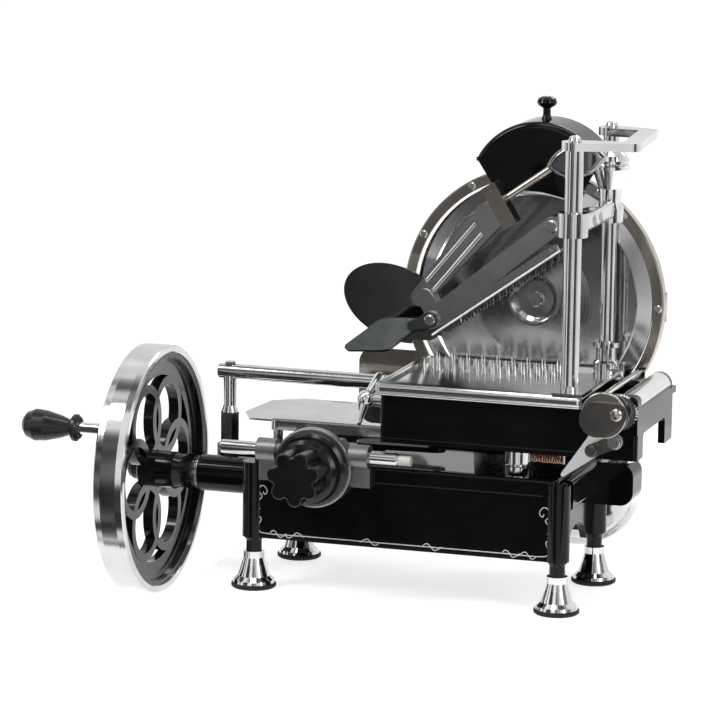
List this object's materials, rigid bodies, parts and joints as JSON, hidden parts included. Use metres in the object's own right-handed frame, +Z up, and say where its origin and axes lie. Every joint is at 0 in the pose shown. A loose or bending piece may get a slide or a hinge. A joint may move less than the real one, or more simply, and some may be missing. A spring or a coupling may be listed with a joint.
{
  "type": "hand crank meat slicer",
  "caption": "Flywheel-driven meat slicer with a round blade, crank-driven carriage, screw-fed table, hinged food press, sharpener hood and thickness knob.",
  "frame": {"origin": "on the plane the four feet stand on, midway between their bolt holes", "axes": "+X along the flywheel shaft away from the flywheel, +Y from the operator's side towards the blade, +Z up"},
  "size_m": [0.645, 0.38, 0.5275],
  "materials": {
    "enamel": "deep gloss black enamel",
    "black_iron": "gloss black enamel on cast iron",
    "dark_plate": "satin black",
    "rubber": "matt black rubber",
    "polished_steel": "polished steel",
    "chrome": "bright chrome plate",
    "blade_steel": "ground stainless steel, fine round grain",
    "brushed": "satin steel",
    "screw_steel": "bright machine screws",
    "grey_iron": "dark grey cast iron",
    "bronze": "turned bronze",
    "dial": "gloss black dial with pale marks",
    "nylon": "pale nylon",
    "grip_black": "smooth black grip",
    "stone": "grey brown abrasive stone",
    "spring_copper": "copper brown spring wire"
  },
  "bodies": {
    "base": {"base_casting": "enamel", "foot_bells": "chrome", "foot_rubbers": "rubber", "shaft_tube": "enamel", "shaft_bushes": "bronze", "rear_rail": "polished_steel", "front_bar": "polished_steel", "rail_posts": "polished_steel", "frame_screws": "screw_steel", "knob_housing": "grey_iron", "gear_case": "polished_steel", "case_cover": "polished_steel", "blade_ring": "polished_steel", "receiving_tray": "brushed", "slice_plate": "polished_steel", "sharpener_bracket": "brushed", "sharpener_stones": "stone"},
    "flywheel": {"flywheel_rim": "polished_steel", "flywheel_web": "black_iron", "main_shaft": "brushed", "wheel_fittings": "chrome"},
    "grip": {"crank_grip": "grip_black"},
    "crank": {"crank": "black_iron"},
    "cross_shaft": {"cross_shaft": "brushed", "cross_gear": "brushed"},
    "idler": {"idler_gear": "brushed"},
    "blade": {"blade_arbor": "polished_steel", "blade": "blade_steel"},
    "carriage": {"carriage_frame": "enamel", "rail_shoes": "polished_steel", "feed_cover": "chrome", "carriage_studs": "screw_steel", "trip_spring": "spring_copper", "pawl_disc": "bronze", "pawl_plate": "dark_plate"},
    "connecting_rod": {"connecting_rod": "black_iron"},
    "drive_pin": {"drive_pin": "screw_steel"},
    "table": {"table": "polished_steel", "food_plate": "polished_steel", "column_seats": "polished_steel", "columns": "polished_steel", "top_bracket": "polished_steel"},
    "feed_screw": {"feed_screw": "polished_steel"},
    "press_slider": {"press_slider": "chrome", "press_carrier": "polished_steel"},
    "press_arm": {"press_plate": "polished_steel", "press_arm": "polished_steel", "press_stay": "chrome", "thumb_piece": "chrome", "hand_guard": "polished_steel"},
    "hand_lever": {"hand_lever": "chrome"},
    "lock_lever": {"lock_lever": "chrome"},
    "trip_lever": {"trip_lever": "polished_steel", "trip_link": "dark_plate"},
    "knob": {"thickness_knob": "dial", "pinion": "brushed"},
    "stop_rod": {"stop_rod": "polished_steel", "stop_stub": "nylon"},
    "hood": {"sharpener_hood": "enamel", "hood_knob": "enamel"}
  },
  "joints": [
    {"name": "flywheel_turn", "type": "hinge", "parent": "base", "child": "flywheel", "pos_m": [-0.2983, 0, 0.0985], "axis": [1, 0, 0], "continuous": true},
    {"name": "grip_spin", "type": "hinge", "parent": "flywheel", "child": "grip", "pos_m": [-0.37, -0.10089, 0.15675], "axis": [1, 0, 0], "continuous": true},
    {"name": "crank_turn", "type": "hinge", "parent": "base", "child": "crank", "pos_m": [-0.06, 0, 0.14], "axis": [0, 0, 1], "continuous": true},
    {"name": "cross_turn", "type": "hinge", "parent": "base", "child": "cross_shaft", "pos_m": [0.088, 0.08, 0.0985], "axis": [0, 1, 0], "continuous": true},
    {"name": "idler_turn", "type": "hinge", "parent": "base", "child": "idler", "pos_m": [0.088, 0.106, 0.211], "axis": [0, 1, 0], "continuous": true},
    {"name": "blade_turn", "type": "hinge", "parent": "base", "child": "blade", "pos_m": [0.088, 0.09, 0.2885], "axis": [0, 1, 0], "continuous": true},
    {"name": "carriage_slide", "type": "slide", "parent": "base", "child": "carriage", "axis": [1, 0, 0], "range_m": [-0.142, 0]},
    {"name": "rod_swing", "type": "hinge", "parent": "carriage", "child": "connecting_rod", "pos_m": [0.138, 0, 0.148], "axis": [0, 0, 1], "range_deg": [-34, 34]},
    {"name": "pin_drop", "type": "slide", "parent": "connecting_rod", "child": "drive_pin", "axis": [0, 0, 1], "range_m": [-0.0052, 0]},
    {"name": "table_feed", "type": "slide", "parent": "carriage", "child": "table", "axis": [0, -1, 0], "range_m": [0, 0.119]},
    {"name": "screw_turn", "type": "hinge", "parent": "carriage", "child": "feed_screw", "pos_m": [0.226, 0, 0.213], "axis": [0, 1, 0], "range_deg": [0, 5360]},
    {"name": "press_height", "type": "slide", "parent": "table", "child": "press_slider", "axis": [0, 0, 1], "range_m": [-0.02, 0.012]},
    {"name": "press_swing", "type": "hinge", "parent": "press_slider", "child": "press_arm", "pos_m": [0.136, -0.02, 0.383], "axis": [0, -1, 0], "range_deg": [-45, 5]},
    {"name": "lever_swing", "type": "hinge", "parent": "press_arm", "child": "hand_lever", "pos_m": [0.01213, -0.02, 0.28113], "axis": [0, 1, 0], "range_deg": [0, 20]},
    {"name": "lock_turn", "type": "hinge", "parent": "carriage", "child": "lock_lever", "pos_m": [-0.046, -0.06, 0.201], "axis": [1, 0, 0], "range_deg": [-30, 30]},
    {"name": "trip_swing", "type": "hinge", "parent": "carriage", "child": "trip_lever", "pos_m": [0.221, -0.092, 0.183], "axis": [0, 1, 0], "range_deg": [0, 18], "stiffness_Nm_per_rad": 0.3, "springref_deg": -28.65},
    {"name": "knob_turn", "type": "hinge", "parent": "base", "child": "knob", "pos_m": [-0.09, -0.1, 0.1335], "axis": [0, 1, 0], "range_deg": [0, 220]},
    {"name": "stop_slide", "type": "slide", "parent": "base", "child": "stop_rod", "axis": [1, 0, 0], "range_m": [0, 0.0309]},
    {"name": "hood_lift", "type": "slide", "parent": "base", "child": "hood", "axis": [0, 0, 1], "range_m": [0, 0.06]}
  ],
  "couplings": [
    {"joint": "crank_turn", "follows": "flywheel_turn", "ratio": 1},
    {"joint": "cross_turn", "follows": "flywheel_turn", "ratio": 1},
    {"joint": "idler_turn", "follows": "flywheel_turn", "ratio": -1.1429},
    {"joint": "blade_turn", "follows": "flywheel_turn", "ratio": 2.4},
    {"joint": "screw_turn", "follows": "table_feed", "rad_per_m": 785.4},
    {"joint": "stop_slide", "follows": "knob_turn", "m_per_rad": 0.008}
  ]
}
